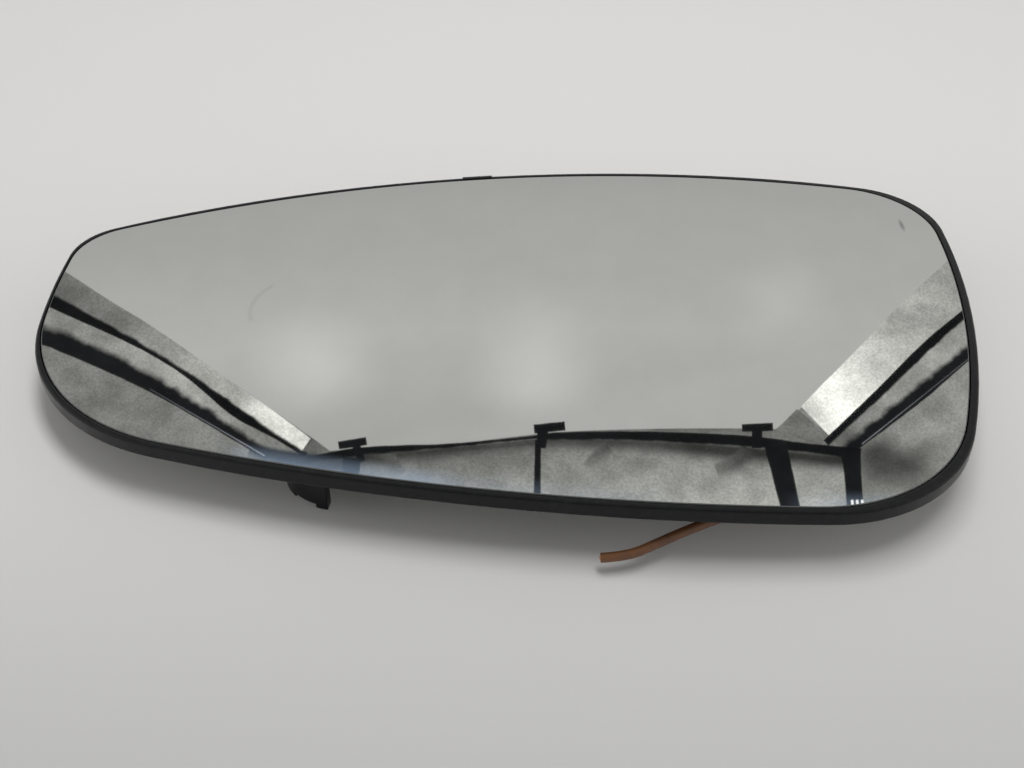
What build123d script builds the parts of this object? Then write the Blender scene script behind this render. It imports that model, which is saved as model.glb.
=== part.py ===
"""Heated car door mirror glass: a convex pane bonded by its heater foil to a moulded backing plate.

Millimetres, +Z up, glass upwards. The origin is on the clip ring's axis, level with the tips of its
teeth, on which the mirror lies. +X points to the end of the pane nearest the car, +Y to its top edge.
"""

import os
from math import radians, tan

from build123d import *

# Pane outline: sharp corners, measured from the clip ring's axis
outer_top_reach = 96.9
outer_top_rise = 29.8
outer_bottom_reach = 93.2
outer_bottom_drop = 29.5
inner_top_reach = 87.4
inner_top_rise = 47.6
inner_bottom_reach = 70.0
inner_bottom_drop = 54.0

# How far each edge of the pane bows out of the straight line between its corners
outer_bulge = 2.5
top_bulge = 11.9
inner_bulge = 7.0
bottom_bulge = 10.0

# Corner radii of the pane
outer_top_round = 12.3
inner_top_round = 18.5
inner_bottom_round = 33.4
outer_bottom_round = 44.3

# Layers, measured on the clip ring's axis
clip_height = 10.8
plate_wall = 1.5
foil_thickness = 0.4
bond_clearance = 0.05
glass_thickness = 1.8
glass_curve = 1300.0
glass_edge_bevel = 0.2

# Rim of the backing plate round the pane
edge_gap = 0.25
rim_wall = 1.1
rim_shift = 0.45
rim_corner_fill = 2.3
rim_step = 0.05
rim_bevel = 0.25
back_bevel = 0.9

# Retaining tab on the top of the rim
tab_centre_x = -12.1
tab_width = 6.6
tab_rise = 0.25
tab_setback = 0.1

# Clip ring: snap teeth round the disc of the adjuster motor
clip_disc_radius = 27.0
clip_wall = 1.6
clip_barb = 0.8
clip_lead_in = 0.7
clip_land = 0.8
clip_barb_slope = 0.4
clip_slot_width = 2.4
clip_slot_depth = 7.2
clip_teeth = 12

# Stiffening ribs, and the frames round the terminal windows
rib_count = 8
rib_wall = 1.2
rib_depth = 3.2
rib_margin = 5.0
root_depth = 0.6

# Guide wall: an arc with a shallow notch in its foot, near the outer bottom edge
guide_centre_x = -35.0
guide_centre_y = -34.0
guide_radius = 10.0
guide_wall = 2.0
guide_start_angle = 199.0
guide_sweep_angle = 60.0
guide_depth = 9.6
guide_notch_angle = 234.5
guide_notch_width = 4.9
guide_notch_depth = 0.8

# Heater foil and its two blade terminals
foil_margin = 4.0
terminal_x = 44.0
terminal_spacing = 18.0
terminal_foot = 8.0
blade_width = 6.3
blade_thickness = 0.8
blade_length = 9.0
blade_drop = 6.2
blade_tip_chamfer = 1.2
blade_hole_radius = 0.7
blade_hole_setback = 3.6
bend_round = 0.4
window_clearance = 1.4
window_round = 1.0

# Push-on receptacle on the feed terminal
receptacle_wall = 0.4
receptacle_clearance = 0.15
receptacle_stand_off = 0.6
receptacle_length = 7.6
receptacle_curl_gap = 2.2
receptacle_round = 0.8
neck_length = 2.6
conductor_crimp_length = 3.2
conductor_crimp_width = 2.2
conductor_crimp_height = 1.7
conductor_crimp_round = 0.5
crimp_groove_radius = 0.3
crimp_spacing = 0.4
crimp_floor = 0.6
insulation_crimp_length = 2.6
crimp_clearance = 0.05

# Heater wire
wire_diameter = 1.75
wire_bend_share = 0.45

# Reach given to cutting prisms, well past the mirror on both sides
tool_height = 60.0

# Heights on the ring's axis, and the common centre of the curved layers
plate_back = clip_height
plate_front = plate_back + plate_wall
glass_back = plate_front + foil_thickness
glass_front = glass_back + glass_thickness
curve_centre = glass_front - glass_curve
rim_top = glass_front - rim_step
rib_foot = plate_back - rib_depth
guide_foot = plate_back - guide_depth
blade_level = plate_back - blade_drop

clip_outer_radius = clip_disc_radius + clip_wall
clip_throat_radius = clip_disc_radius - clip_barb
window_width = blade_width + 2 * window_clearance
window_length = terminal_foot + 2 * window_clearance
terminal_sites = [(terminal_x, -terminal_spacing / 2), (terminal_x, terminal_spacing / 2)]

# Stations along the feed terminal and its receptacle, towards -Y
riser_face = -terminal_spacing / 2 - terminal_foot / 2
receptacle_front = riser_face - receptacle_stand_off
receptacle_end = receptacle_front - receptacle_length
conductor_crimp_front = receptacle_end - neck_length
conductor_crimp_end = conductor_crimp_front - conductor_crimp_length
insulation_crimp_front = conductor_crimp_end - crimp_spacing
wire_start = insulation_crimp_front - crimp_floor

os.makedirs("parts", exist_ok=True)


def below_dome(apex, mode):
    """Keep or remove, in the current part, what lies under the dome with this apex height."""
    poles_along_y = (90, 0, 0)
    with Locations((0, 0, curve_centre)):
        Sphere(apex - curve_centre, rotation=poles_along_y, mode=mode)


def curved_layer(front, back):
    """Cut the current part down to the curved layer between two apex heights."""
    below_dome(front, Mode.INTERSECT)
    below_dome(back, Mode.SUBTRACT)


def station(y):
    """The plane across the feed terminal's blade at this Y, seen from the wire's end."""
    return Plane((terminal_x, y, blade_level), x_dir=(1, 0, 0), z_dir=(0, -1, 0))


def save(piece, name):
    piece.label = name
    export_step(piece, f"parts/{name}.step")


# Outlines seen along the ring's axis: four arcs with rounded corners

corners = {
    (-outer_top_reach, outer_top_rise): outer_top_round,
    (inner_top_reach, inner_top_rise): inner_top_round,
    (inner_bottom_reach, -inner_bottom_drop): inner_bottom_round,
    (-outer_bottom_reach, -outer_bottom_drop): outer_bottom_round,
}
outer_top, inner_top, inner_bottom, outer_bottom = (Vector(corner) for corner in corners)

edges = [
    (outer_top, inner_top, top_bulge),
    (inner_top, inner_bottom, inner_bulge),
    (inner_bottom, outer_bottom, bottom_bulge),
    (outer_bottom, outer_top, outer_bulge),
]


def pane_outline(margin, shift=0.0, corner_fill=0.0):
    """The pane's outline, grown by a margin and moved along X, with corners filled out by tighter rounds."""
    with BuildSketch(Plane((shift, 0, 0))) as outline:
        for number, (start, end, bulge) in enumerate(edges):
            chord = end - start
            inward = chord.normalized().rotate(Axis.Z, -90)
            edge_radius = chord.length**2 / (8 * bulge) + bulge / 2
            centre = (start + end) / 2 + inward * (edge_radius - bulge)
            with Locations(Plane(centre, x_dir=inward)):
                Circle(edge_radius + margin, mode=Mode.INTERSECT if number else Mode.ADD)
        for corner, radius in corners.items():
            fillet(outline.vertices().sort_by_distance(corner)[0], radius + margin - corner_fill)
    return outline.sketch


glass_sketch = pane_outline(0)
pocket_sketch = pane_outline(edge_gap)
plate_sketch = pane_outline(edge_gap + rim_wall, rim_shift, rim_corner_fill)
tab_sketch = pane_outline(edge_gap + rim_wall - tab_setback, rim_shift)
foil_sketch = pane_outline(-foil_margin)
rib_sketch = pane_outline(-rib_margin)

# Mirror glass: convex pane with a ground front edge

with BuildPart() as mirror_glass:
    extrude(glass_sketch, amount=tool_height, both=True)
    curved_layer(glass_front, glass_back)
    front_face = mirror_glass.faces().filter_by(GeomType.SPHERE).sort_by(Axis.Z)[-1]
    chamfer(front_face.outer_wire().edges(), glass_edge_bevel)

save(mirror_glass.part, "mirror_glass")

# Heater foil: the adhesive mat between the pane and the plate

with BuildPart() as heater_foil:
    extrude(foil_sketch, amount=tool_height, both=True)
    curved_layer(glass_back - bond_clearance, plate_front + bond_clearance)

save(heater_foil.part, "heater_foil")

# Backing plate: floor, rim, clip ring, ribs, guide wall and retaining tab in one moulding

with BuildPart() as pocket:
    extrude(pocket_sketch, amount=tool_height, both=True)
    below_dome(plate_front, Mode.SUBTRACT)

with BuildPart() as retaining_tab:
    extrude(tab_sketch, amount=tool_height, both=True)
    with Locations((tab_centre_x, 0, 0)):
        Box(
            tab_width,
            2 * (inner_top_rise + top_bulge),
            2 * tool_height,
            align=(Align.CENTER, Align.MIN, Align.CENTER),
            mode=Mode.INTERSECT,
        )
    curved_layer(rim_top + tab_rise, plate_back + back_bevel)
    extrude(pocket_sketch, amount=tool_height, both=True, mode=Mode.SUBTRACT)

with BuildPart() as back_features:
    with PolarLocations(0, rib_count):
        with Locations((0, 0, rib_foot)):
            Box(2 * outer_top_reach, rib_wall, tool_height, align=(Align.MIN, Align.CENTER, Align.MIN))
    with BuildSketch(Plane.XY.offset(rib_foot)):
        frame_width = window_width + 2 * rib_wall
        frame_length = window_length + 2 * rib_wall
        with Locations(*terminal_sites):
            RectangleRounded(frame_width, frame_length, window_round + rib_wall)
    extrude(amount=tool_height)
    with BuildSketch(Plane.XY.offset(rib_foot)):
        Circle(clip_outer_radius - root_depth)
    extrude(amount=tool_height, mode=Mode.SUBTRACT)
    extrude(rib_sketch, amount=tool_height, both=True, mode=Mode.INTERSECT)
    guide_plane = Plane((guide_centre_x, guide_centre_y, guide_foot))
    with BuildSketch(guide_plane):
        with BuildLine():
            CenterArc((0, 0), guide_radius, guide_start_angle, guide_sweep_angle)
        trace(line_width=guide_wall)
    extrude(amount=tool_height)
    with BuildSketch(guide_plane):
        with PolarLocations(guide_radius, 1, start_angle=guide_notch_angle):
            Rectangle(2 * guide_wall, guide_notch_width)
    extrude(amount=guide_notch_depth, mode=Mode.SUBTRACT)
    below_dome(plate_back + root_depth, Mode.INTERSECT)

with BuildPart() as backing_plate:
    extrude(plate_sketch, amount=tool_height, both=True)
    curved_layer(rim_top, plate_back)
    add(pocket.part, mode=Mode.SUBTRACT)
    domes = backing_plate.faces().filter_by(GeomType.SPHERE).sort_by(lambda face: face.radius)
    chamfer(domes[-1].outer_wire().edges(), rim_bevel)
    domes = backing_plate.faces().filter_by(GeomType.SPHERE).sort_by(lambda face: face.radius)
    chamfer(domes[0].outer_wire().edges(), back_bevel)
    add(retaining_tab.part)
    add(back_features.part)
    with BuildSketch(Plane.XZ):
        with BuildLine():
            barb_foot = clip_lead_in + clip_land
            Polyline(
                (clip_outer_radius, 0),
                (clip_disc_radius, 0),
                (clip_throat_radius, clip_lead_in),
                (clip_throat_radius, barb_foot),
                (clip_disc_radius, barb_foot + clip_barb_slope),
                (clip_disc_radius, plate_back + root_depth),
                (clip_outer_radius, plate_back + root_depth),
                close=True,
            )
        make_face()
    revolve(axis=Axis.Z)
    with PolarLocations(clip_disc_radius, clip_teeth, start_angle=180 / clip_teeth):
        Box(
            4 * clip_wall,
            clip_slot_width,
            clip_slot_depth,
            align=(Align.CENTER, Align.CENTER, Align.MIN),
            mode=Mode.SUBTRACT,
        )
    with BuildSketch():
        with Locations(*terminal_sites):
            RectangleRounded(window_width, window_length, window_round)
    extrude(amount=tool_height, mode=Mode.SUBTRACT)

save(backing_plate.part, "backing_plate")

# Blade terminals: stamped strips soldered to the foil through the plate's windows

with BuildPart() as solder_foot:
    with BuildSketch():
        with Locations(terminal_sites[0]):
            Rectangle(blade_width, terminal_foot)
    extrude(amount=tool_height)
    curved_layer(plate_front, plate_front - blade_thickness)

with BuildPart() as heater_terminal_feed:
    with BuildSketch(Plane.YZ.offset(terminal_x)):
        with BuildLine():
            FilletPolyline(
                (riser_face + blade_thickness / 2, tool_height),
                (riser_face + blade_thickness / 2, blade_level),
                (riser_face - blade_length, blade_level),
                radius=bend_round + blade_thickness / 2,
            )
        trace(line_width=blade_thickness)
    extrude(amount=blade_width / 2, both=True)
    chamfer(heater_terminal_feed.edges().filter_by(Axis.Z).group_by(Axis.Y)[0], blade_tip_chamfer)
    with Locations((terminal_x, riser_face - blade_length + blade_hole_setback, blade_level)):
        Cylinder(blade_hole_radius, 2 * blade_thickness, mode=Mode.SUBTRACT)
    below_dome(plate_front - blade_thickness / 2, Mode.INTERSECT)
    add(solder_foot.part)

with BuildPart() as heater_terminal_return:
    mirror(heater_terminal_feed.part, about=Plane.XZ)

save(heater_terminal_feed.part, "heater_terminal_feed")
save(heater_terminal_return.part, "heater_terminal_return")

# Push-on receptacle: curled body on the blade, then the crimps on the conductor and the insulation

cavity_width = blade_width + 2 * receptacle_clearance
cavity_height = blade_thickness + 2 * receptacle_clearance
body_width = cavity_width + 2 * receptacle_wall
body_height = cavity_height + 2 * receptacle_wall
wire_bore = wire_diameter / 2 + crimp_clearance

with BuildPart() as wire_receptacle:
    with BuildSketch(station(receptacle_front)):
        RectangleRounded(body_width, body_height, receptacle_round)
        RectangleRounded(cavity_width, cavity_height, receptacle_round - receptacle_wall, mode=Mode.SUBTRACT)
        Rectangle(
            receptacle_curl_gap,
            body_height,
            align=(Align.CENTER, Align.MAX),
            mode=Mode.SUBTRACT,
        )
    extrude(amount=receptacle_length)
    with BuildSketch(Plane.XY.offset(blade_level + cavity_height / 2)):
        with BuildLine():
            shoulder = body_width / 2 - receptacle_round
            Polyline(
                (terminal_x - shoulder, receptacle_end),
                (terminal_x - conductor_crimp_width / 2, conductor_crimp_front),
                (terminal_x - conductor_crimp_width / 2, wire_start),
                (terminal_x + conductor_crimp_width / 2, wire_start),
                (terminal_x + conductor_crimp_width / 2, conductor_crimp_front),
                (terminal_x + shoulder, receptacle_end),
                close=True,
            )
        make_face()
    extrude(amount=receptacle_wall)
    with BuildSketch(station(conductor_crimp_front)):
        RectangleRounded(conductor_crimp_width, conductor_crimp_height, conductor_crimp_round)
        with Locations((0, -conductor_crimp_height / 2)):
            Circle(crimp_groove_radius, mode=Mode.SUBTRACT)
    extrude(amount=conductor_crimp_length)
    with BuildSketch(station(insulation_crimp_front)):
        Circle(wire_bore + receptacle_wall)
    extrude(amount=crimp_floor + insulation_crimp_length)
    with BuildSketch(station(wire_start)):
        Circle(wire_bore)
    extrude(amount=insulation_crimp_length, mode=Mode.SUBTRACT)

save(wire_receptacle.part, "wire_receptacle")

# Heater wire: out of the crimp and round under the rim to a short free end

wire_points = [
    Vector(terminal_x, wire_start, blade_level),
    Vector(44.0, -36.0, 4.6),
    Vector(41.4, -43.6, 4.9),
    Vector(36.0, -48.9, 5.3),
    Vector(27.5, -53.0, 5.3),
    Vector(21.0, -56.0, 4.4),
    Vector(15.8, -58.3, 3.5),
    Vector(11.1, -58.45, 3.3),
]


def bend_radius(before, corner, after):
    """The radius of an arc that takes up its share of the shorter run at a corner of the route."""
    run_in = corner - before
    run_out = after - corner
    turn = radians(run_in.get_angle(run_out))
    return wire_bend_share * min(run_in.length, run_out.length) / tan(turn / 2)


wire_radii = [bend_radius(*three) for three in zip(wire_points, wire_points[1:], wire_points[2:])]
print("wire bend radii:", [round(radius, 1) for radius in wire_radii])

with BuildPart() as heater_wire:
    with BuildLine() as wire_path:
        FilletPolyline(*wire_points, radius=wire_radii)
    with BuildSketch(wire_path.line ^ 0):
        Circle(wire_diameter / 2)
    sweep()

save(heater_wire.part, "heater_wire")
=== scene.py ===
"""Looks of a heated car door mirror glass: silvered pane, moulded plate, terminals and heater wire.

Metres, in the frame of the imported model: +Z out of the glass, +X to the end of the pane nearest the car,
+Y to its top edge. The mirror lies on the floor, on the tips of its clip ring.
"""

import math

import bpy
from mathutils import Euler, Matrix, Vector, geometry


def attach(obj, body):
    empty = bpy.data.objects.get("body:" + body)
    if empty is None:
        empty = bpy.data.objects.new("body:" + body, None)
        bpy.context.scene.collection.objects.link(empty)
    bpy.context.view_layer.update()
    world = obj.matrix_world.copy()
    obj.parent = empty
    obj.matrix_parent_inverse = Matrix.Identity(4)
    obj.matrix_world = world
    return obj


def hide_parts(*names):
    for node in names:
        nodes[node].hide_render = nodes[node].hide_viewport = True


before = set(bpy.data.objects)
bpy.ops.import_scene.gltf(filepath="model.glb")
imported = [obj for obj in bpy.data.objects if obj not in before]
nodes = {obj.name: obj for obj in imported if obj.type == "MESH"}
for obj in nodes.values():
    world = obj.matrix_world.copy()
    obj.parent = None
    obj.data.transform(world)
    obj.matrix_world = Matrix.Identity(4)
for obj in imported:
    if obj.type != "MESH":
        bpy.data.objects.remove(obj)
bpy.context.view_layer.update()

# Camera: the photograph's viewing angle, in its 1024 by 768 frame
IMAGE_WIDTH = 1024
IMAGE_HEIGHT = 768
FOCAL_PIXELS = 1400
SENSOR_MM = 36.0
CAMERA_CLIP = 0.01
CAMERA_PLACE = Vector((-0.00454, -0.22615, 0.17661))
CAMERA_AZIMUTH = math.radians(0.12)
CAMERA_ELEVATION = math.radians(38.88)
CAMERA_ROLL = math.radians(0.29)

# Pane: sharp corners with their radii, how far the edge after each corner bows out, which edge is the
# bottom one, and the height, thickness, curve and fine edges of the glass
PANE_CORNERS = (
    (Vector((-0.0969, 0.0298)), 0.0123),
    (Vector((0.0874, 0.0476)), 0.0185),
    (Vector((0.0700, -0.0540)), 0.0334),
    (Vector((-0.0932, -0.0295)), 0.0443),
)
EDGE_BULGES = (0.0119, 0.0070, 0.0100, 0.0025)
BOTTOM_EDGE = 2
GLASS_FRONT = 0.0145
GLASS_THICKNESS = 0.0018
GLASS_CURVE = 1.3
EDGE_BEVEL = 0.0002
BACK_ARRIS = 0.0002
CURVE_CENTRE = Vector((0, 0, GLASS_FRONT - GLASS_CURVE))

# Fineness of the pane's mesh: the outline's step, the fewest steps of an arc, the rings and the steps of
# the bevel
OUTLINE_STEP = 0.0012
FEWEST_STEPS = 4
FRONT_RINGS = 28
BACK_RINGS = 8
BEVEL_STEPS = 4

# Painted glow along the bottom edge of the silvering, a pale blue veil that stands in for light blurred at
# the
# glass edge: its depth, how far its ends fade, and its spans along X with the strength in each
PAINTED_GLOW_DEPTH = 0.0045
PAINTED_GLOW_FADE = 0.012
PAINTED_GLOW_SPANS = ((-0.046, -0.022, 0.28), (-0.016, 0.014, 0.1), (0.052, 0.064, 0.18))

# Marks on the glass: a faint curved scratch, whose ends fade over a span of X and a span of Y, and a smudge
# that fades from its middle outwards, over a share of its spans
SCRATCH_CENTRE = (-0.0446, -0.0003)
SCRATCH_RADIUS = 0.0115
SCRATCH_WIDTH = 0.0009
SCRATCH_RIGHT_FADE = (-0.0532, -0.0522)
SCRATCH_LOW_FADE = (-0.0050, -0.0035)
SCRATCH_STRENGTH = 0.11
SMUDGE_CENTRE = (0.0812, 0.0345)
SMUDGE_SPAN = (0.0006, 0.0028)
SMUDGE_FADE = (0.2, 1.2)
SMUDGE_STRENGTH = 0.55

# Dust on the glass: the cover of its specks, and of its film where that is thin and thick
SPECK_COVER = 0.02
FILM_COVER = (0.002, 0.007)

# Finishes: the colours that each one varies between, first plain and then worn, marked, grimy or tarnished
PLASTIC_COLOURS = ((0.0025, 0.0027, 0.0036, 1), (0.008, 0.0085, 0.01, 1))
SILVERING_COLOURS = ((0.643, 0.645, 0.635, 1), (0.12, 0.12, 0.12, 1))
GROUND_EDGE_COLOURS = ((0.05, 0.052, 0.05, 1), (0.11, 0.115, 0.11, 1))
FOIL_COLOURS = ((0.04, 0.036, 0.032, 1), (0.09, 0.08, 0.07, 1))
INSULATION_COLOURS = ((0.125, 0.052, 0.02, 1), (0.08, 0.036, 0.018, 1))
COPPER_COLOURS = ((0.72, 0.36, 0.22, 1), (0.4, 0.2, 0.13, 1))
BRASS_COLOURS = ((0.72, 0.52, 0.24, 1), (0.42, 0.29, 0.13, 1))
TINNED_COLOURS = ((0.7, 0.68, 0.63, 1), (0.5, 0.46, 0.38, 1))
DUST_COLOUR = (0.55, 0.56, 0.57, 1)
# Painted glow: the pale blue that stands in for light blurred at the bottom edge of the glass
PAINTED_GLOW_COLOUR = (0.42, 0.56, 0.76, 1)

# Where most of a noise lies
NOISE_RANGE = (0.3, 0.7)

# Heater wire: the route of its solid, out of the crimp to its free end, its size, and the order and
# fineness of its curve
WIRE_POINTS = (
    (0.0440, -0.0280, 0.0046),
    (0.0440, -0.0360, 0.0046),
    (0.0414, -0.0436, 0.0049),
    (0.0360, -0.0489, 0.0053),
    (0.0275, -0.0530, 0.0053),
    (0.0210, -0.0560, 0.0044),
    (0.0158, -0.0583, 0.0035),
    (0.0111, -0.05845, 0.0033),
)
WIRE_DIAMETER = 0.00175
WIRE_ORDER = 3
WIRE_STEPS = 24
WIRE_ROUNDNESS = 6

# Copper strands in the wire's cut end
STRAND_RADIUS = 0.00016
STRAND_REACHES = (0.00012, 0.00016, 0.0002)
STRAND_ROOT = 0.0004
STRAND_SIDES = 10
STRANDS_ROUND = 6

# Light tent that the pane reflects. Its pieces lie in layers on one board, square to the middle of what the
# pane shows, and their places are pixels of the photograph, seen in the pane.
BOARD_DISTANCE = 0.9
BOARD_ELEVATION = math.radians(39)
BOARD_LAYER = 0.002

# Layers of the tent, from the board forwards. Each kind of ribbon has a layer of its own, and pieces of one
# kind lie a small step apart. The end panels lie behind the shades, and the dim spots behind the bands.
LINING_LAYER = 0
FRONT_LAYER = 1
BACK_LAYER = 2
GLOW_LAYER = 3
RIBBON_LAYER = 4
END_PANEL_LAYER = 5.5
DIM_LAYER = 6.6
LAYER_STEP = 0.1

# Cloths of the tent: tint, strength of the blotches and the grain, and how ragged the edges are. The scales
# of these are in features to the metre.
TENT_CLOTH = {"tint": (1.0, 1.0, 0.97, 1), "blotches": 0.015, "grain": 0.01, "ragged": 0.0}
TENT_SILVER = {"tint": (0.99, 1.0, 0.94, 1), "blotches": 0.22, "grain": 0.17, "ragged": 0.1}
TENT_STRAP = {"tint": (0.95, 1.0, 1.1, 1), "blotches": 0.2, "grain": 0.0, "ragged": 0.35}
BLOTCH_SCALE = 26
GRAIN_SCALE = 420
FRINGE_SCALE = 50
FRINGE_RANGE = (0.25, 0.75)

# Front and back of the tent: corners with the brightness at each, and the faces of the back
FRONT_PANEL = ((300, 436, 0.13), (860, 430, 0.2), (860, 520, 0.62), (300, 520, 0.42))
BACK_SPOTS = (
    (-60, 90, 0.52), (1080, 90, 0.52),
    (-60, 190, 0.43), (1080, 150, 0.49),
    (40, 258, 0.55), (992, 243, 0.58),
    (186, 352, 0.68), (884, 342, 0.64),
    (330, 451, 0.57), (456, 444, 0.58), (557, 432, 0.64), (776, 429, 0.62),
)
BACK_FACES = ((0, 2, 3, 1), (2, 4, 5, 3), (4, 6, 7, 5), (6, 8, 9, 10, 11, 7))

# Panels at the ends of the walls: corners, and the brightness at each
LEFT_END_PANEL = ((313, 440, 0.22), (330, 451, 0.25), (314, 459, 0.2), (302, 452, 0.22))
RIGHT_END_PANEL = ((797, 409, 0.28), (830, 436, 0.22), (820, 446, 0.2), (776, 430, 0.25))

# Soft spots on the cloth and on the lining: the middle, the reach across, up and down, and the brightness
GLOWS = (
    (312, 364, 85, 70, 68, 0.82),
    (535, 380, 85, 110, 54, 0.8),
    (780, 302, 70, 60, 60, 0.7),
)
DIM_SPOTS = (
    (874, 456, 36, 30, 40, 0.09),
    (900, 466, 60, 36, 34, 0.09),
)
SPOT_SIDES = 24

# Ribbons of the tent: points of the middle line, from left to right, each with the width there. Outside the
# photograph's frame they fade over these distances, and from point to point they bend in so many steps.
FADE_RANGE = (30, 150)
RIBBON_STEPS = 6

# Ribbons with the brightness at each point too
LINING = ((-180, 329, 438, 0.29), (-30, 329, 438, 0.29), (1054, 329, 438, 0.41), (1204, 329, 438, 0.41))
LINING_SOFTNESS = (60, 40)
WALLS = (
    (
        (-250, 123, 55, 0.3), (20, 268, 40, 0.25), (100, 311, 28, 0.27), (150, 337, 20, 0.4),
        (232, 393, 18, 0.62), (262, 415, 20, 1.05), (306, 445, 16, 1.25),
    ),
    (
        (815, 421, 40, 1.1), (840, 397, 43, 1.5), (850, 388, 44, 1.45), (885, 355, 48, 0.76),
        (920, 322, 52, 0.58), (1000, 250, 55, 0.45), (1180, 88, 60, 0.45),
    ),
)
STRIPS = (
    (
        (-250, 193, 45, 0.42), (20, 306, 30, 0.38), (70, 327, 26, 0.39), (110, 345, 26, 0.4),
        (150, 364, 26, 0.52), (228, 418, 16, 0.5), (268, 443, 12, 0.3),
    ),
    (
        (845, 438, 14, 0.2), (890, 402, 22, 0.45), (938, 358, 26, 0.5), (995, 310, 26, 0.42),
        (1180, 154, 36, 0.42),
    ),
)
SHADES = (
    ((250, 448, 10, 0.02), (282, 458, 16, 0.02), (345, 465, 14, 0.03)),
    (
        (312, 466, 14, 0.05), (364, 459, 12, 0.05), (452, 452, 8, 0.08), (532, 445, 6, 0.1),
        (557, 443, 8, 0.09), (640, 445, 10, 0.08), (728, 452, 14, 0.05), (800, 458, 12, 0.06),
        (850, 463, 14, 0.04),
    ),
    ((372, 452, 10, 0.06), (390, 460, 14, 0.12), (402, 474, 8, 0.22)),
    ((586, 467, 6, 0.3), (594, 458, 10, 0.2), (608, 446, 12, 0.1)),
    ((716, 470, 12, 0.2), (736, 462, 16, 0.12), (748, 448, 12, 0.06)),
)
STITCHES = (
    ((150, 389, 1.0, 0.12), (212, 425, 1.0, 0.2), (265, 456, 1.2, 0.5)),
    ((862, 444, 1.0, 0.35), (915, 402, 0.8, 0.2), (972, 356, 0.8, 0.12)),
)

# Ribbons of one brightness
SEAM_TONE = 0.01
SEAMS = (
    (
        (-250, 156, 24), (20, 286, 14), (70, 310, 12), (135, 343, 6), (186, 374, 5), (235, 411, 11),
        (275, 436, 5), (306, 455, 5),
    ),
)
HEMS = (
    ((826, 443, 7), (878, 394, 8.5), (930, 343.5, 10), (990, 292, 8), (1180, 129, 14)),
    (
        (306, 460, 6), (364, 451, 8), (452, 445.5, 4), (532, 437.5, 3), (557, 436, 7), (640, 436, 9),
        (745, 441, 11), (800, 447, 9), (856, 454, 12),
    ),
)
BAND_TONE = 0.015
BANDS = (
    ((-250, 234, 30), (20, 328, 18), (66, 344, 19), (150, 383, 16), (228, 430, 12), (268, 456, 9)),
    ((845, 452, 12), (918, 395, 15), (946, 372, 13), (995, 330, 13), (1180, 171, 18)),
)
POST_TONE = 0.012
POSTS = (
    ((850, 450, 24), (852, 465, 18), (856, 520, 16)),
    ((775, 443, 22), (794, 522, 19)),
    ((538, 440, 6), (537, 505, 7)),
    ((352, 458, 18), (349, 490, 16)),
)
CLIPS = (
    ((338.5, 445.5, 8), (366.5, 441, 8)),
    ((356, 445, 8), (362, 462, 8)),
    ((534, 429, 9), (565, 426, 9)),
    ((543, 430, 11), (541, 448, 9)),
    ((742, 428, 8), (773, 427, 8)),
    ((757, 429, 11), (757, 448, 10)),
)
GLINT_TONE = 1.6
GLINTS = (
    ((852, 500, 2.5), (853, 507, 2.5)),
    ((857, 500, 2.5), (858, 507, 2.5)),
    ((862, 500, 2.5), (863, 507, 2.5)),
)

# Floor: its reach, how far off the pale paper passes into the surroundings, and its painted shade in front
# of the mirror and behind it, which turns over a span of Y; the paper is painted darker in front, where
# less light falls
FLOOR_REACH = 3.0
FLOOR_FADE_RANGE = (0.26, 0.6)
FLOOR_NEAR = (0.53, 0.528, 0.522, 1)
FLOOR_FAR = (0.755, 0.747, 0.732, 1)
FLOOR_SHADE_RANGE = (-0.13, 0.0)

# Studio: the surroundings as they are seen, the light that they give from above, from low down and from the
# low sides, and how the open side in front of the mirror and the lit sides beside it show in gloss
SKY_TONE = (0.62, 0.62, 0.615, 1)
SKY_FILL = 0.45
LOW_FILL = 0.8
LOW_SIDE_FILL = 12.0
LOW_RANGE = (0.0, 0.45)
FRONT_GLOSS = 0.4
FRONT_RANGE = (-0.85, -0.35)
SIDE_GLOSS = 1.05
SIDE_RANGE = (0.6, 0.95)

# Soft lamp above the mirror: place, size and power
LAMP_PLACE = Vector((0.05, 0.03, 0.8))
LAMP_SIZE = (0.6, 0.22)
LAMP_POWER = 3.3

link_object = bpy.context.scene.collection.objects.link


def new_mesh_object(name, vertices, faces):
    mesh = bpy.data.meshes.new(name)
    mesh.from_pydata(vertices, [], faces)
    mesh.update()
    piece = bpy.data.objects.new(name, mesh)
    link_object(piece)
    return piece


# Camera


def camera_turn():
    """The camera's rotation, level with its roll added."""
    level = Euler((math.pi / 2 - CAMERA_ELEVATION, 0, -CAMERA_AZIMUTH)).to_matrix()
    return level @ Matrix.Rotation(CAMERA_ROLL, 3, "Z")


def make_camera():
    data = bpy.data.cameras.new("camera")
    data.sensor_width = SENSOR_MM
    data.lens = FOCAL_PIXELS / IMAGE_WIDTH * SENSOR_MM
    data.clip_start = CAMERA_CLIP
    camera = bpy.data.objects.new("camera", data)
    camera.matrix_world = Matrix.Translation(CAMERA_PLACE) @ camera_turn().to_4x4()
    link_object(camera)
    bpy.context.scene.camera = camera


def seen_in_glass(x, y, layer=0):
    """The place on the board, or so many layers before it, that the pane reflects at this pixel."""
    across = (x - IMAGE_WIDTH / 2) / FOCAL_PIXELS
    up = (IMAGE_HEIGHT / 2 - y) / FOCAL_PIXELS
    ray = (camera_turn() @ Vector((across, up, -1))).normalized()
    beyond = CAMERA_PLACE + ray
    hits = geometry.intersect_line_sphere(CAMERA_PLACE, beyond, CURVE_CENTRE, GLASS_CURVE, False)
    hit = max((point for point in hits if point), key=lambda point: point.z)
    mirrored = ray.reflect((hit - CURVE_CENTRE).normalized())
    outward = Vector((0, math.cos(BOARD_ELEVATION), math.sin(BOARD_ELEVATION)))
    place = outward * (BOARD_DISTANCE - layer * BOARD_LAYER)
    return geometry.intersect_line_plane(hit, hit + mirrored, place, outward)


# Materials


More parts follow.
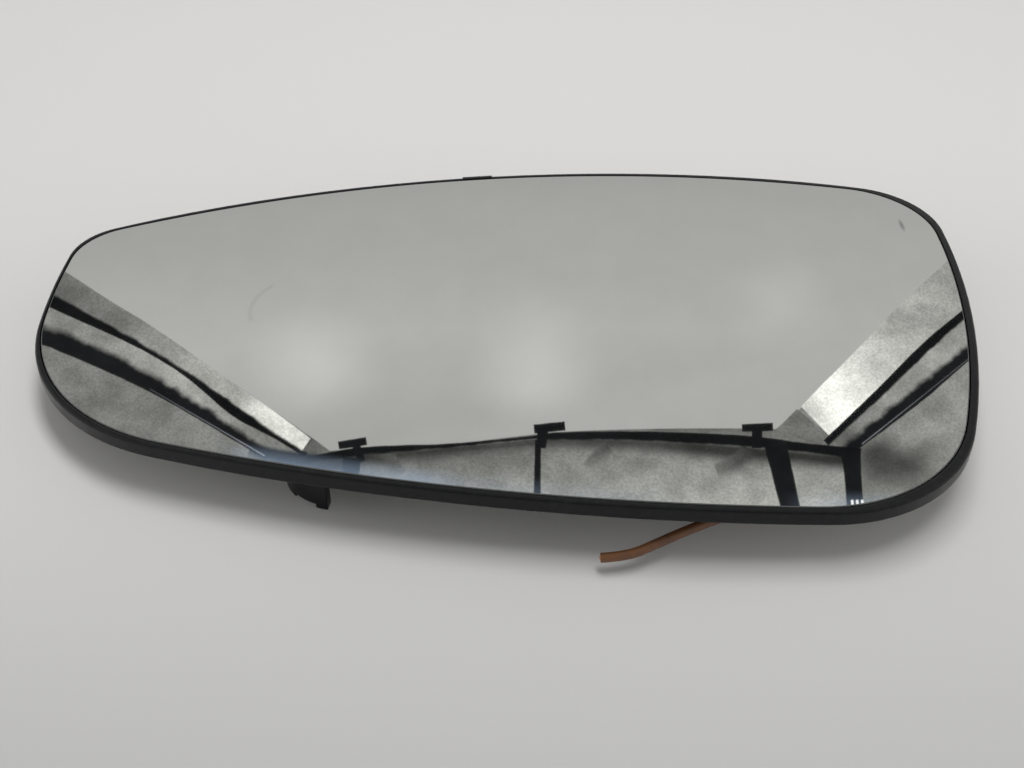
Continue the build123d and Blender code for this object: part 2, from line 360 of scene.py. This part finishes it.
def node(tree, kind, inputs=None, **settings):
    """Add a shader node. Each input is a value, or a socket to link from."""
    made = tree.nodes.new("ShaderNode" + kind)
    for name, value in settings.items():
        setattr(made, name, value)
    for key, value in (inputs or {}).items():
        if isinstance(value, bpy.types.NodeSocket):
            tree.links.new(value, made.inputs[key])
        else:
            made.inputs[key].default_value = value
    return made


def new_material(name):
    material = bpy.data.materials.new(name)
    material.use_nodes = True
    material.node_tree.nodes.clear()
    return material, material.node_tree


def layered(tree, share, first, second):
    """Mix two shader nodes by a share."""
    return node(tree, "MixShader", {0: share, 1: first.outputs[0], 2: second.outputs[0]})


def show(tree, shader):
    """Make this shader node the material's surface."""
    node(tree, "OutputMaterial", {"Surface": shader.outputs[0]})


def object_place(tree):
    return node(tree, "TexCoord").outputs["Object"]


def noise(tree, place, scale, detail=3.0, roughness=0.55):
    inputs = {"Vector": place, "Scale": scale, "Detail": detail, "Roughness": roughness}
    return node(tree, "TexNoise", inputs).outputs["Fac"]


def ramp(tree, value, low, high, low_to=0.0, high_to=1.0):
    """Map a value smoothly from one range to another, held at the ends."""
    inputs = {"Value": value, "From Min": low, "From Max": high, "To Min": low_to, "To Max": high_to}
    return node(tree, "MapRange", inputs, interpolation_type="SMOOTHSTEP").outputs["Result"]


def blend(tree, share, first, second):
    """Mix two colours by a share."""
    share_input, first_input, second_input, result = 0, 6, 7, 2
    inputs = {share_input: share, first_input: first, second_input: second}
    return node(tree, "Mix", inputs, data_type="RGBA").outputs[result]


def choose(tree, share, first, second):
    """Mix two numbers by a share."""
    share_input, first_input, second_input, result = 0, 2, 3, 0
    return node(tree, "Mix", {share_input: share, first_input: first, second_input: second}).outputs[result]


def math_node(tree, operation, *values):
    return node(tree, "Math", dict(enumerate(values)), operation=operation).outputs[0]


def axes(tree, place):
    return node(tree, "SeparateXYZ", {0: place}).outputs


def plan_distance(tree, place, centre, span=(1, 1)):
    """Distance from a point, seen along Z, with each axis measured in its own span."""
    scale = Vector((1 / span[0], 1 / span[1], 0))
    scaled = node(tree, "VectorMath", {0: place, 1: scale}, operation="MULTIPLY").outputs["Vector"]
    target = Vector((*centre, 0)) * scale
    return node(tree, "VectorMath", {0: scaled, 1: target}, operation="DISTANCE").outputs["Value"]


def grain_bump(tree, height, distance, strength, edge_round=0.0):
    """Normals of a fine surface grain, on edges that are rounded in shading where a radius is given."""
    inputs = {"Height": height, "Distance": distance, "Strength": strength}
    if edge_round:
        inputs["Normal"] = node(tree, "Bevel", {"Radius": edge_round}, samples=6).outputs["Normal"]
    return node(tree, "Bump", inputs).outputs["Normal"]


def plastic_material():
    """Black moulded plastic: fine satin grain, uneven gloss and softened edges."""
    material, tree = new_material("black_plastic")
    place = object_place(tree)
    patches = noise(tree, place, scale=160)
    worn = ramp(tree, noise(tree, place, scale=900, detail=4), low=0.45, high=0.8)
    grain = noise(tree, place, scale=6000, detail=2)
    shader = node(tree, "BsdfPrincipled", {
        "Base Color": blend(tree, worn, *PLASTIC_COLOURS),
        "Specular IOR Level": 0.25,
        "Roughness": ramp(tree, patches, *NOISE_RANGE, low_to=0.27, high_to=0.4),
        "Normal": grain_bump(tree, grain, distance=0.00001, strength=0.3, edge_round=0.0006),
    })
    show(tree, shader)
    return material


def painted_glow_share(tree, place):
    """How much of the silvering the painted glow along the bottom edge veils."""
    centre, radius = edge_circles()[BOTTOM_EDGE]
    depth = math_node(tree, "SUBTRACT", radius, plan_distance(tree, place, centre))
    along_x = axes(tree, place)["X"]
    strength = 0.0
    for left, right, peak in PAINTED_GLOW_SPANS:
        rise = ramp(tree, along_x, left - PAINTED_GLOW_FADE, left)
        fall = ramp(tree, along_x, right, right + PAINTED_GLOW_FADE, peak, 0.0)
        strength = math_node(tree, "MULTIPLY_ADD", rise, fall, strength)
    return math_node(tree, "MULTIPLY", strength, ramp(tree, depth, 0.0, PAINTED_GLOW_DEPTH, 1.0, 0.0))


def mark_share(tree, place):
    """How much the scratch and the smudge dull the silvering."""
    along = axes(tree, place)
    off_line = math_node(tree, "SUBTRACT", plan_distance(tree, place, SCRATCH_CENTRE), SCRATCH_RADIUS)
    off_line = math_node(tree, "ABSOLUTE", off_line)
    scratch = ramp(tree, off_line, 0.0, SCRATCH_WIDTH, SCRATCH_STRENGTH, 0.0)
    scratch = math_node(tree, "MULTIPLY", scratch, ramp(tree, along["X"], *SCRATCH_RIGHT_FADE, 1.0, 0.0))
    scratch = math_node(tree, "MULTIPLY", scratch, ramp(tree, along["Y"], *SCRATCH_LOW_FADE))
    off_smudge = plan_distance(tree, place, SMUDGE_CENTRE, SMUDGE_SPAN)
    smudge = ramp(tree, off_smudge, *SMUDGE_FADE, SMUDGE_STRENGTH, 0.0)
    return math_node(tree, "ADD", scratch, smudge)


def mirror_material():
    """Silvered front of the pane: a mirror with two marks, thin dust and a painted bluish glow at one edge.
    """
    material, tree = new_material("silvered_glass")
    place = object_place(tree)
    mirror = node(tree, "BsdfPrincipled", {
        "Base Color": blend(tree, mark_share(tree, place), *SILVERING_COLOURS),
        "Metallic": 1.0,
        "Roughness": 0.015,
    })
    dust = node(tree, "BsdfPrincipled", {"Base Color": DUST_COLOUR, "Roughness": 0.9})
    # Painted glow: a pale blue matt veil that stands in for light blurred at the bottom edge of the glass
    veil = node(tree, "BsdfPrincipled", {"Base Color": PAINTED_GLOW_COLOUR, "Roughness": 0.7})
    specks = ramp(tree, noise(tree, place, scale=2500, detail=2), low=0.68, high=0.8, high_to=SPECK_COVER)
    film = ramp(tree, noise(tree, place, scale=60), 0.35, 0.75, *FILM_COVER)
    dusty = layered(tree, math_node(tree, "ADD", specks, film), mirror, dust)
    show(tree, layered(tree, painted_glow_share(tree, place), dusty, veil))
    return material


def ground_edge_material():
    """Ground edge of the pane: dull, faintly grey-green glass."""
    material, tree = new_material("ground_edge")
    place = object_place(tree)
    shader = node(tree, "BsdfPrincipled", {
        "Base Color": blend(tree, noise(tree, place, scale=1800), *GROUND_EDGE_COLOURS),
        "Roughness": 0.4,
        "Normal": grain_bump(tree, noise(tree, place, scale=9000), distance=0.00001, strength=0.4),
    })
    show(tree, shader)
    return material


def foil_material():
    """Heater foil: matt dark film."""
    material, tree = new_material("heater_foil")
    place = object_place(tree)
    shader = node(tree, "BsdfPrincipled", {
        "Base Color": blend(tree, noise(tree, place, scale=700), *FOIL_COLOURS),
        "Roughness": 0.62,
        "Normal": grain_bump(tree, noise(tree, place, scale=3000), distance=0.00002, strength=0.3),
    })
    show(tree, shader)
    return material


def metal_material(name, clean, tarnished, roughness):
    """Stamped strip metal with patches of tarnish."""
    material, tree = new_material(name)
    place = object_place(tree)
    tarnish = ramp(tree, noise(tree, place, scale=700, detail=5), low=0.42, high=0.72)
    rubbed = noise(tree, place, scale=1500)
    grain = noise(tree, place, scale=7000)
    shader = node(tree, "BsdfPrincipled", {
        "Base Color": blend(tree, tarnish, clean, tarnished),
        "Metallic": 1.0,
        "Roughness": ramp(tree, rubbed, *NOISE_RANGE, low_to=roughness - 0.06, high_to=roughness + 0.1),
        "Normal": grain_bump(tree, grain, distance=0.000008, strength=0.25, edge_round=0.00012),
    })
    show(tree, shader)
    return material


def insulation_material():
    """Vinyl wire insulation, orange-brown, handled and a little grimy."""
    material, tree = new_material("wire_insulation")
    place = object_place(tree)
    grime = ramp(tree, noise(tree, place, scale=420, detail=4), low=0.45, high=0.75)
    handled = noise(tree, place, scale=1300)
    shader = node(tree, "BsdfPrincipled", {
        "Base Color": blend(tree, grime, *INSULATION_COLOURS),
        "Roughness": ramp(tree, handled, *NOISE_RANGE, low_to=0.36, high_to=0.5),
        "Normal": grain_bump(tree, noise(tree, place, scale=5000), distance=0.00001, strength=0.25),
    })
    show(tree, shader)
    return material


def dress(piece, *materials):
    """Give a piece these materials and no others."""
    piece.data.materials.clear()
    for material in materials:
        piece.data.materials.append(material)


# Pane


def edge_circle(start, end, bulge):
    """Centre and radius of the arc that bows out of the line between two corners."""
    chord = end - start
    inward = Vector((chord.y, -chord.x)).normalized()
    radius = chord.length_squared / (8 * bulge) + bulge / 2
    return (start + end) / 2 + inward * (radius - bulge), radius


def edge_circles():
    """Circles that the pane's edges follow, in the order of the corners that they start from."""
    corners = [corner for corner, _ in PANE_CORNERS]
    following = corners[1:] + corners[:1]
    return [edge_circle(*edge) for edge in zip(corners, following, EDGE_BULGES)]


def pane_arcs():
    """Arcs of the pane's outline, clockwise: centre, radius, and the directions of the two ends."""
    circles = edge_circles()
    rounds = []
    for number, (corner, radius) in enumerate(PANE_CORNERS):
        (centre_in, reach_in), (centre_out, reach_out) = circles[number - 1], circles[number]
        inner_in, inner_out = reach_in - radius, reach_out - radius
        options = geometry.intersect_sphere_sphere_2d(centre_in, inner_in, centre_out, inner_out)
        centre = min(options, key=lambda option: (option - corner).length)
        rounds.append((centre, radius, centre - centre_in, centre - centre_out))
    arcs = []
    for (centre, reach), corner_round, next_round in zip(circles, rounds, rounds[1:] + rounds[:1]):
        _, _, _, start = corner_round
        _, _, end, _ = next_round
        arcs += [corner_round, (centre, reach, start, end)]
    return arcs


def pane_stations():
    """Points round the pane's edge, as the centre and radius of the arc there and the outward direction."""
    stations = []
    for centre, radius, start, end in pane_arcs():
        first = math.atan2(start.y, start.x)
        sweep = (first - math.atan2(end.y, end.x)) % math.tau
        steps = max(FEWEST_STEPS, round(sweep * radius / OUTLINE_STEP))
        for step in range(steps):
            angle = first - sweep * step / steps
            stations.append((centre, radius, Vector((math.cos(angle), math.sin(angle)))))
    return stations


def pane_rings():
    """Rings of the pane's skin, from the middle of the front round the edge to the middle of the back.

    Each is its share of the outline's reach, its margin outside it, its depth under the front dome and how
    far its normal leans, from upwards to outwards to downwards.
    """
    rings = [((ring + 1) / FRONT_RINGS, -EDGE_BEVEL, 0.0, 0.0) for ring in range(FRONT_RINGS)]
    for step in range(1, BEVEL_STEPS + 1):
        lean = math.pi / 2 * step / BEVEL_STEPS
        rings.append((1.0, EDGE_BEVEL * (math.sin(lean) - 1), EDGE_BEVEL * (1 - math.cos(lean)), lean))
    rings.append((1.0, 0.0, GLASS_THICKNESS - BACK_ARRIS, math.pi / 2))
    for ring in range(BACK_RINGS):
        rings.append((1 - ring / BACK_RINGS, -BACK_ARRIS, GLASS_THICKNESS, math.pi))
    return rings


def make_pane():
    """Convex pane with exact normals, so that its reflections bend as a curved mirror's do."""
    stations = pane_stations()
    rings = pane_rings()
    vertices = [Vector((0, 0, GLASS_FRONT))]
    normals = [Vector((0, 0, 1))]
    for share, margin, depth, lean in rings:
        for centre, radius, outward in stations:
            flat = (centre + outward * (radius + margin)) * share
            height = math.sqrt(GLASS_CURVE**2 - flat.length_squared)
            upward = flat.to_3d() + Vector((0, 0, height))
            upward.normalize()
            vertices.append(CURVE_CENTRE + Vector((flat.x, flat.y, height - depth)))
            normals.append(upward * math.cos(lean) + outward.to_3d() * math.sin(lean))
    vertices.append(Vector((0, 0, GLASS_FRONT - GLASS_THICKNESS)))
    normals.append(Vector((0, 0, -1)))
    count = len(stations)
    last = len(vertices) - 1
    faces = [(0, 1 + (step + 1) % count, 1 + step) for step in range(count)]
    for ring in range(len(rings) - 1):
        inner = 1 + ring * count
        outer = inner + count
        for step in range(count):
            following = (step + 1) % count
            faces.append((inner + step, inner + following, outer + following, outer + step))
    inner = last - count
    faces += [(inner + step, inner + (step + 1) % count, last) for step in range(count)]
    pane = new_mesh_object("mirror_pane", vertices, faces)
    pane.data.shade_smooth()
    pane.data.normals_split_custom_set_from_vertices(normals)
    dress(pane, mirror_material(), ground_edge_material())
    front_faces = count * FRONT_RINGS
    edge_slot = 1
    for face in pane.data.polygons[front_faces:]:
        face.material_index = edge_slot
    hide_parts("mirror_glass")
    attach(pane, "root")


# Heater wire


def make_wire():
    """Heater wire as a smooth cord, with the strands in its cut end."""
    curve = bpy.data.curves.new("heater_wire_cord", "CURVE")
    curve.dimensions = "3D"
    curve.bevel_depth = WIRE_DIAMETER / 2
    curve.bevel_resolution = WIRE_ROUNDNESS
    curve.use_fill_caps = True
    spline = curve.splines.new("NURBS")
    spline.points.add(len(WIRE_POINTS) - 1)
    for point, place in zip(spline.points, WIRE_POINTS):
        point.co = (*place, 1)
    spline.order_u = WIRE_ORDER
    spline.use_endpoint_u = True
    spline.resolution_u = WIRE_STEPS
    wire = bpy.data.objects.new("heater_wire_cord", curve)
    link_object(wire)
    dress(wire, insulation_material())
    strands = make_strands()
    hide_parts("heater_wire")
    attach(wire, "root")


def spoke(radius, share):
    """A point this far from the axis, at a share of the turn."""
    return Vector((radius * math.cos(math.tau * share), radius * math.sin(math.tau * share), 0))


def make_strands():
    """Copper strands in the wire's cut end: one in the middle and six round it, cut unevenly."""
    before, end = Vector(WIRE_POINTS[-2]), Vector(WIRE_POINTS[-1])
    turn = (end - before).to_track_quat("Z", "Y").to_matrix()
    axes_of_strands = [Vector((0, 0, 0))]
    axes_of_strands += [spoke(2 * STRAND_RADIUS, step / STRANDS_ROUND) for step in range(STRANDS_ROUND)]
    vertices, faces = [], []
    for number, axis in enumerate(axes_of_strands):
        base = len(vertices)
        reach = STRAND_REACHES[number % len(STRAND_REACHES)]
        for height in (-STRAND_ROOT, reach):
            for side in range(STRAND_SIDES):
                around = axis + spoke(STRAND_RADIUS, side / STRAND_SIDES)
                vertices.append(end + turn @ (around + Vector((0, 0, height))))
        low = [base + side for side in range(STRAND_SIDES)]
        high = [vertex + STRAND_SIDES for vertex in low]
        faces += [low[::-1], high]
        for side in range(STRAND_SIDES):
            after = (side + 1) % STRAND_SIDES
            faces.append((low[side], low[after], high[after], high[side]))
    strands = new_mesh_object("wire_strands", vertices, faces)
    dress(strands, metal_material("copper", *COPPER_COLOURS, roughness=0.35))
    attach(strands, "root")
    return strands


# Stage


def paper_material():
    """Pale paper, painted darker in front of the mirror where less light falls, that passes into the
    surroundings far off.
    """
    material, tree = new_material("pale_paper")
    place = object_place(tree)
    # Painted shade: the paper's colour darkens towards the front, where less light falls
    shade = ramp(tree, axes(tree, place)["Y"], *FLOOR_SHADE_RANGE)
    paper = node(tree, "BsdfDiffuse", {"Color": blend(tree, shade, FLOOR_NEAR, FLOOR_FAR)})
    distance = plan_distance(tree, place, (0, 0))
    rays = node(tree, "LightPath").outputs
    seen = math_node(tree, "MAXIMUM", rays["Is Camera Ray"], rays["Is Glossy Ray"])
    far = math_node(tree, "MULTIPLY", seen, ramp(tree, distance, *FLOOR_FADE_RANGE))
    veil = node(tree, "Emission", {"Color": SKY_TONE})
    show(tree, layered(tree, far, paper, veil))
    return material


def make_floor():
    corners = [(x * FLOOR_REACH, y * FLOOR_REACH, 0) for x, y in ((-1, -1), (1, -1), (1, 1), (-1, 1))]
    floor = new_mesh_object("floor", corners, [(0, 1, 2, 3)])
    dress(floor, paper_material())


def tent_material(name, tint, blotches, grain, ragged):
    """Lit cloth: brightness and cover from its mesh, with blotches, fine grain and ragged edges."""
    material, tree = new_material(name)
    material.cycles.emission_sampling = "NONE"
    paint = node(tree, "Attribute", attribute_name="paint").outputs
    place = object_place(tree)
    uneven = noise(tree, place, BLOTCH_SCALE, detail=6)
    uneven = ramp(tree, uneven, *NOISE_RANGE, 1 - blotches, 1 + blotches)
    grained = noise(tree, place, GRAIN_SCALE, detail=2)
    grained = ramp(tree, grained, *NOISE_RANGE, 1 - grain, 1 + grain)
    strength = math_node(tree, "MULTIPLY", math_node(tree, "MULTIPLY", uneven, grained), paint["Fac"])
    fringe = noise(tree, place, FRINGE_SCALE, detail=5)
    fringe = ramp(tree, fringe, *FRINGE_RANGE, -ragged, 0.0)
    cover = ramp(tree, math_node(tree, "ADD", paint["Alpha"], fringe), 0.0, 1 - ragged)
    glow = node(tree, "Emission", {"Color": tint, "Strength": strength})
    show(tree, layered(tree, cover, node(tree, "BsdfTransparent"), glow))
    return material


def tent_piece(name, spots, faces, layer, material):
    """A piece of the tent that shows only in gloss. Each spot is a pixel, its brightness and its cover."""
    piece = new_mesh_object(name, [seen_in_glass(x, y, layer) for x, y, _, _ in spots], faces)
    paint = piece.data.color_attributes.new("paint", "FLOAT_COLOR", "POINT")
    start, end = FADE_RANGE
    for dot, (x, _, tone, cover) in zip(paint.data, spots):
        outside = max(-x, x - IMAGE_WIDTH)
        share = min(max((end - outside) / (end - start), 0), 1)
        dot.color = (tone, tone, tone, cover * share)
    dress(piece, material)
    piece.visible_camera = False
    piece.visible_diffuse = False
    piece.visible_transmission = False
    piece.visible_shadow = False


def tent_panel(name, corners, layer, material):
    spots = [(*corner, 1.0) for corner in corners]
    tent_piece(name, spots, [tuple(range(len(spots)))], layer, material)


def smooth_line(points):
    """Points of a smooth line through the given ones, which may have any number of values each."""
    line = []
    points = [Vector(point) for point in points]
    for number, (start, end) in enumerate(zip(points, points[1:])):
        leave = (end - points[max(number - 1, 0)]) / 2
        arrive = (points[min(number + 2, len(points) - 1)] - start) / 2
        for step in range(RIBBON_STEPS):
            t = step / RIBBON_STEPS
            bend = leave * (t - 2 * t**2 + t**3) + arrive * (t**3 - t**2)
            line.append(start + (end - start) * (3 * t**2 - 2 * t**3) + bend)
    return line + points[-1:]


def tent_ribbon(name, points, layer, material, softness):
    """A ribbon along a smooth line, with upper and lower edges that fade over so many pixels."""
    line = smooth_line(points)
    upper, lower = softness
    spots, faces = [], []
    for number, (x, y, width, tone) in enumerate(line):
        ahead = line[min(number + 1, len(line) - 1)] - line[max(number - 1, 0)]
        down = Vector((-ahead[1], ahead[0])).normalized()
        top, bottom = -width / 2, width / 2
        offsets = (
            (top - upper / 2, 0.0),
            (top + upper / 2, 1.0),
            (bottom - lower / 2, 1.0),
            (bottom + lower / 2, 0.0),
        )
        columns = len(offsets)
        spots += [(*(Vector((x, y)) + down * offset), tone, cover) for offset, cover in offsets]
        if number:
            row = number * columns
            for spot in range(row, row + columns - 1):
                faces.append((spot, spot + 1, spot + 1 - columns, spot - columns))
    tent_piece(name, spots, faces, layer, material)


def tent_spot(name, spot, layer, material):
    """A soft spot, strongest in its middle."""
    x, y, across, up, down, tone = spot
    spots = [(x, y, tone, 1.0)]
    for side in range(SPOT_SIDES):
        offset = spoke(1, side / SPOT_SIDES)
        reach = down if offset.y > 0 else up
        spots.append((x + offset.x * across, y + offset.y * reach, tone, 0.0))
    faces = [(0, 1 + side, 1 + (side + 1) % SPOT_SIDES) for side in range(SPOT_SIDES)]
    tent_piece(name, spots, faces, layer, material)


def one_tone(lines, tone):
    """Ribbons' lines with the same brightness at every point."""
    return [[(*point, tone) for point in line] for line in lines]


def make_tent():
    """Tent of pale cloth, silver lining and black straps, laid out after the photograph's reflection."""
    cloth = tent_material("tent_cloth", **TENT_CLOTH)
    silver = tent_material("tent_silver", **TENT_SILVER)
    strap = tent_material("tent_strap", **TENT_STRAP)
    tent_ribbon("tent_lining", LINING, LINING_LAYER, silver, LINING_SOFTNESS)
    tent_panel("tent_front", FRONT_PANEL, FRONT_LAYER, silver)
    tent_piece("tent_back", [(*spot, 1.0) for spot in BACK_SPOTS], BACK_FACES, BACK_LAYER, cloth)
    for number, spot in enumerate(GLOWS):
        tent_spot(f"tent_glow_{number}", spot, GLOW_LAYER + number * LAYER_STEP, cloth)
    for number, spot in enumerate(DIM_SPOTS):
        tent_spot(f"tent_dim_{number}", spot, DIM_LAYER + number * LAYER_STEP, silver)
    # Kinds of ribbon from the back forwards: name, lines, cloth, and how far the upper and lower edges fade
    ribbons = (
        ("tent_wall", WALLS, silver, (1, 2)),
        ("tent_strip", STRIPS, silver, (2, 4)),
        ("tent_shade", SHADES, silver, (6, 16)),
        ("tent_band", one_tone(BANDS, BAND_TONE), strap, (12, 2)),
        ("tent_seam", one_tone(SEAMS, SEAM_TONE), strap, (5, 1.2)),
        ("tent_hem", one_tone(HEMS, SEAM_TONE), strap, (1.2, 4)),
        ("tent_post", one_tone(POSTS, POST_TONE), strap, (1.5, 1.5)),
        ("tent_clip", one_tone(CLIPS, POST_TONE), strap, (1.5, 1.5)),
        ("tent_stitch", STITCHES, strap, (0.5, 0.5)),
        ("tent_glint", one_tone(GLINTS, GLINT_TONE), cloth, (1, 1)),
    )
    for layer, (name, lines, material, softness) in enumerate(ribbons, start=RIBBON_LAYER):
        for number, line in enumerate(lines):
            tent_ribbon(f"{name}_{number}", line, layer + number * LAYER_STEP, material, softness)
    tent_panel("tent_left_end", LEFT_END_PANEL, END_PANEL_LAYER, silver)
    tent_panel("tent_right_end", RIGHT_END_PANEL, END_PANEL_LAYER, silver)


def make_world():
    """Pale surroundings: their low sides give the most light, and their open side shows darker in gloss."""
    world = bpy.data.worlds.new("studio")
    world.use_nodes = True
    tree = world.node_tree
    tree.nodes.clear()
    rays = node(tree, "LightPath").outputs
    direction = axes(tree, node(tree, "TexCoord").outputs["Generated"])
    front = ramp(tree, direction["Y"], *FRONT_RANGE, FRONT_GLOSS, 1.0)
    sideways = math_node(tree, "ABSOLUTE", direction["X"])
    sides = ramp(tree, sideways, *SIDE_RANGE, 1.0, SIDE_GLOSS)
    gloss = math_node(tree, "MULTIPLY", front, sides)
    low = ramp(tree, direction["Z"], *LOW_RANGE, 1.0, 0.0)
    low_fill = ramp(tree, sideways, *SIDE_RANGE, LOW_FILL, LOW_SIDE_FILL)
    fill = choose(tree, low, SKY_FILL, low_fill)
    seen = math_node(tree, "MAXIMUM", rays["Is Camera Ray"], rays["Is Transmission Ray"])
    strength = choose(tree, seen, choose(tree, rays["Is Glossy Ray"], fill, gloss), 1.0)
    sky = node(tree, "Background", {"Color": SKY_TONE, "Strength": strength})
    node(tree, "OutputWorld", {"Surface": sky.outputs[0]})
    bpy.context.scene.world = world


def make_lamp():
    light = bpy.data.lights.new("lamp", "AREA")
    light.shape = "RECTANGLE"
    light.size, light.size_y = LAMP_SIZE
    light.energy = LAMP_POWER
    lamp = bpy.data.objects.new("lamp", light)
    lamp.location = LAMP_PLACE
    lamp.rotation_euler = LAMP_PLACE.to_track_quat("Z", "Y").to_euler()
    lamp.visible_glossy = False
    link_object(lamp)


make_camera()
make_wire()
make_pane()

dress(nodes["backing_plate"], plastic_material())
dress(nodes["heater_foil"], foil_material())
brass = metal_material("brass", *BRASS_COLOURS, roughness=0.3)
dress(nodes["heater_terminal_feed"], brass)
dress(nodes["heater_terminal_return"], brass)
dress(nodes["wire_receptacle"], metal_material("tinned_brass", *TINNED_COLOURS, roughness=0.34))

make_floor()
make_tent()
make_world()
make_lamp()
bpy.context.scene.view_settings.view_transform = "Standard"
